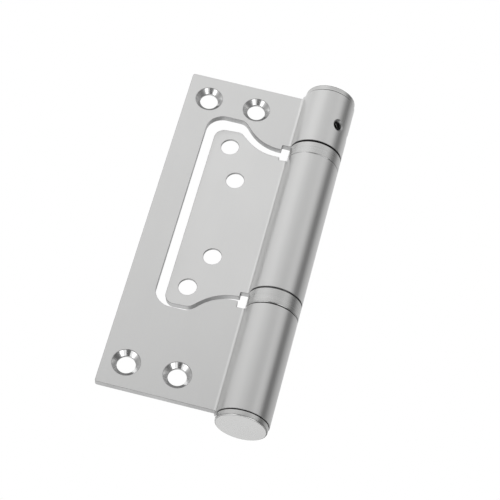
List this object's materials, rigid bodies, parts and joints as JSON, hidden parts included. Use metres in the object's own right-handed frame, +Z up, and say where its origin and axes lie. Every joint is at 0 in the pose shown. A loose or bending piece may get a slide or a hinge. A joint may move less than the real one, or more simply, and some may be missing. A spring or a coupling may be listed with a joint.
{
  "type": "concealed hydraulic door hinge",
  "caption": "Self-closing hydraulic door hinge: a door leaf that nests in the frame leaf's cut-out, round barrel with wear rings, cam, piston and spring inside.",
  "frame": {"origin": "on the hinge axis at the barrel's lower end face", "axes": "+Z up along the hinge axis, leaves towards -X, the side that the frame leaf's screws enter faces -Y"},
  "size_m": [0.058, 0.018, 0.131],
  "materials": {
    "brushed_stainless": "fine brushed stainless sheet",
    "turned_stainless": "fine turned stainless",
    "hardened_steel": "hardened and ground",
    "ground_steel": "ground",
    "ball_steel": "polished ball",
    "black_steel": "black oxide",
    "spring_steel": "drawn wire",
    "turned_brass": "turned",
    "white_nylon": "moulded",
    "dark_nylon": "moulded",
    "seal_rubber": "moulded nitrile"
  },
  "bodies": {
    "frame_side": {"frame_leaf": "brushed_stainless", "top_cap": "turned_stainless", "cam_shaft": "hardened_steel", "lock_screws": "black_steel", "cross_pin": "hardened_steel", "bottom_cap": "turned_stainless", "lower_race": "hardened_steel"},
    "bearing_cage": {"thrust_balls": "ball_steel", "ball_cage": "white_nylon"},
    "door_side": {"door_leaf": "brushed_stainless", "cylinder_tube": "ground_steel", "lower_ring": "turned_stainless", "upper_race": "hardened_steel", "upper_ring": "turned_stainless", "slip_washer": "dark_nylon", "gland_nut": "turned_brass", "shaft_seal": "seal_rubber", "gland_seal": "seal_rubber", "slide_washer": "white_nylon", "end_plug": "turned_brass", "plug_seal": "seal_rubber", "retaining_ring": "black_steel", "spring_seat": "ground_steel", "return_spring": "spring_steel"},
    "throttle": {"speed_screw": "turned_brass", "needle_seal": "seal_rubber"},
    "piston_set": {"piston": "ground_steel", "piston_seal": "seal_rubber", "cam_balls": "ball_steel", "check_spring": "spring_steel", "check_retainer": "ground_steel"},
    "check_valve": {"check_ball": "ball_steel"}
  },
  "joints": [
    {"name": "door_swing", "type": "hinge", "parent": "frame_side", "child": "door_side", "pos_m": [0, 0, 0], "axis": [0, 0, 1], "range_deg": [0, 186], "stiffness_Nm_per_rad": 0.15, "springref_deg": -28.65},
    {"name": "cage_turn", "type": "hinge", "parent": "frame_side", "child": "bearing_cage", "pos_m": [0, 0, 0], "axis": [0, 0, 1], "range_deg": [0, 94]},
    {"name": "piston_travel", "type": "slide", "parent": "door_side", "child": "piston_set", "axis": [0, 0, -1], "range_m": [0, 0.01397], "deforming": ["return_spring"]},
    {"name": "check_lift", "type": "slide", "parent": "piston_set", "child": "check_valve", "axis": [0, 0, 1], "range_m": [0, 0.0006], "stiffness_N_per_m": 5, "deforming": ["check_spring"]},
    {"name": "speed_adjust", "type": "hinge", "parent": "door_side", "child": "throttle", "pos_m": [0, 0, 0], "axis": [0, 0, 1], "range_deg": [-180, 180]}
  ],
  "couplings": [
    {"joint": "cage_turn", "follows": "door_swing", "ratio": 0.5},
    {"joint": "piston_travel", "follows": "door_swing", "m_per_rad": 0.0042972}
  ]
}
